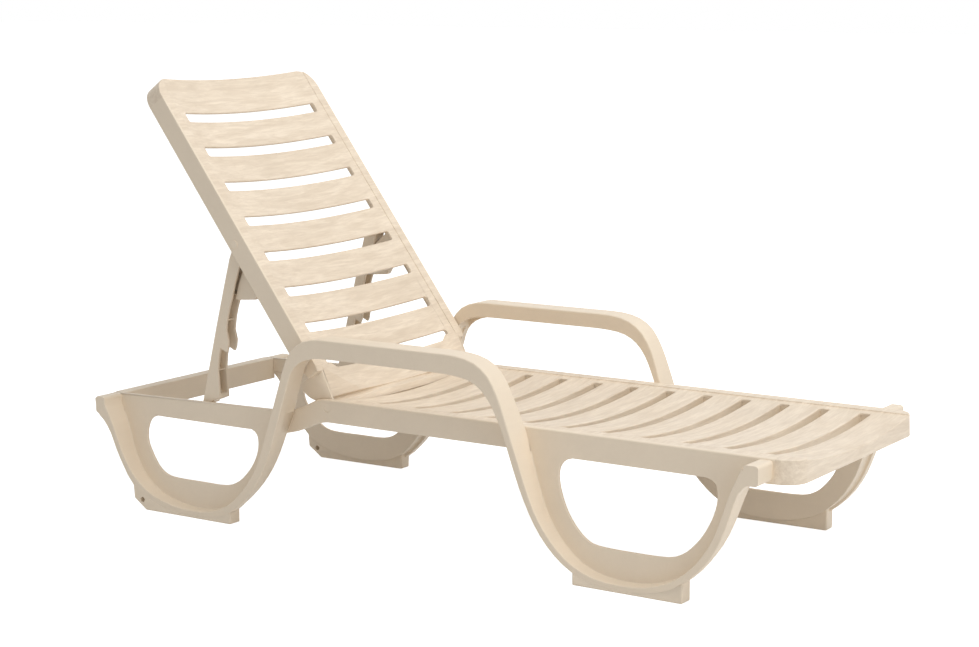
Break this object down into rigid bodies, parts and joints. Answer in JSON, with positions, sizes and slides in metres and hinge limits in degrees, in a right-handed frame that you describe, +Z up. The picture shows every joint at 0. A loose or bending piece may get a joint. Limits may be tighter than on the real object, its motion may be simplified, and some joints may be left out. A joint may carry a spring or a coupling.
{
  "type": "reclining sun lounger",
  "caption": "Moulded resin sun lounger: slatted dished seat, wavy legs that rise into armrests, and a slatted backrest that reclines on a folding prop frame.",
  "frame": {"origin": "middle of the footprint, on the floor", "axes": "+X toward the foot end, -X toward the head end, +Y toward the left side of a person who lies with the feet at +X, +Z up"},
  "size_m": [1.7404, 0.7094, 0.9726],
  "materials": {
    "cream_resin": "satin moulded resin with a faint lengthwise grain",
    "frame_resin": "satin moulded resin",
    "pin_resin": "smooth moulded resin"
  },
  "bodies": {
    "base": {"seat_deck": "cream_resin", "seat_ribs": "cream_resin", "hinge_crossbar": "cream_resin", "head_crossbar": "cream_resin", "side_rail_left": "cream_resin", "side_rail_right": "cream_resin", "armrest_left": "cream_resin", "armrest_right": "cream_resin", "rear_leg_left": "cream_resin", "rear_leg_right": "cream_resin", "front_leg_left": "cream_resin", "front_leg_right": "cream_resin", "rear_foot_left": "cream_resin", "rear_foot_right": "cream_resin", "front_foot_left": "cream_resin", "front_foot_right": "cream_resin", "prop_peg_left": "frame_resin", "prop_peg_right": "frame_resin", "hinge_pin_left": "pin_resin", "hinge_pin_right": "pin_resin"},
    "backrest": {"backrest_panel": "cream_resin", "backrest_ribs": "cream_resin", "backrest_side_left": "cream_resin", "backrest_side_right": "cream_resin", "prop_stop_left": "cream_resin", "prop_stop_right": "cream_resin", "prop_pin_left": "pin_resin", "prop_pin_right": "pin_resin"},
    "prop_frame": {"prop_arm_left": "frame_resin", "prop_arm_right": "frame_resin", "prop_tube": "frame_resin"}
  },
  "joints": [
    {"name": "backrest_recline", "type": "hinge", "parent": "base", "child": "backrest", "pos_m": [-0.246, 0, 0.278], "axis": [0, -1, 0], "range_deg": [0, 53.6]},
    {"name": "prop_fold", "type": "hinge", "parent": "backrest", "child": "prop_frame", "pos_m": [-0.49601, 0, 0.6171], "axis": [0, 1, 0], "range_deg": [0, 86]}
  ],
  "couplings": [
    {"joint": "prop_fold", "follows": "backrest_recline", "ratio": 1.6}
  ]
}
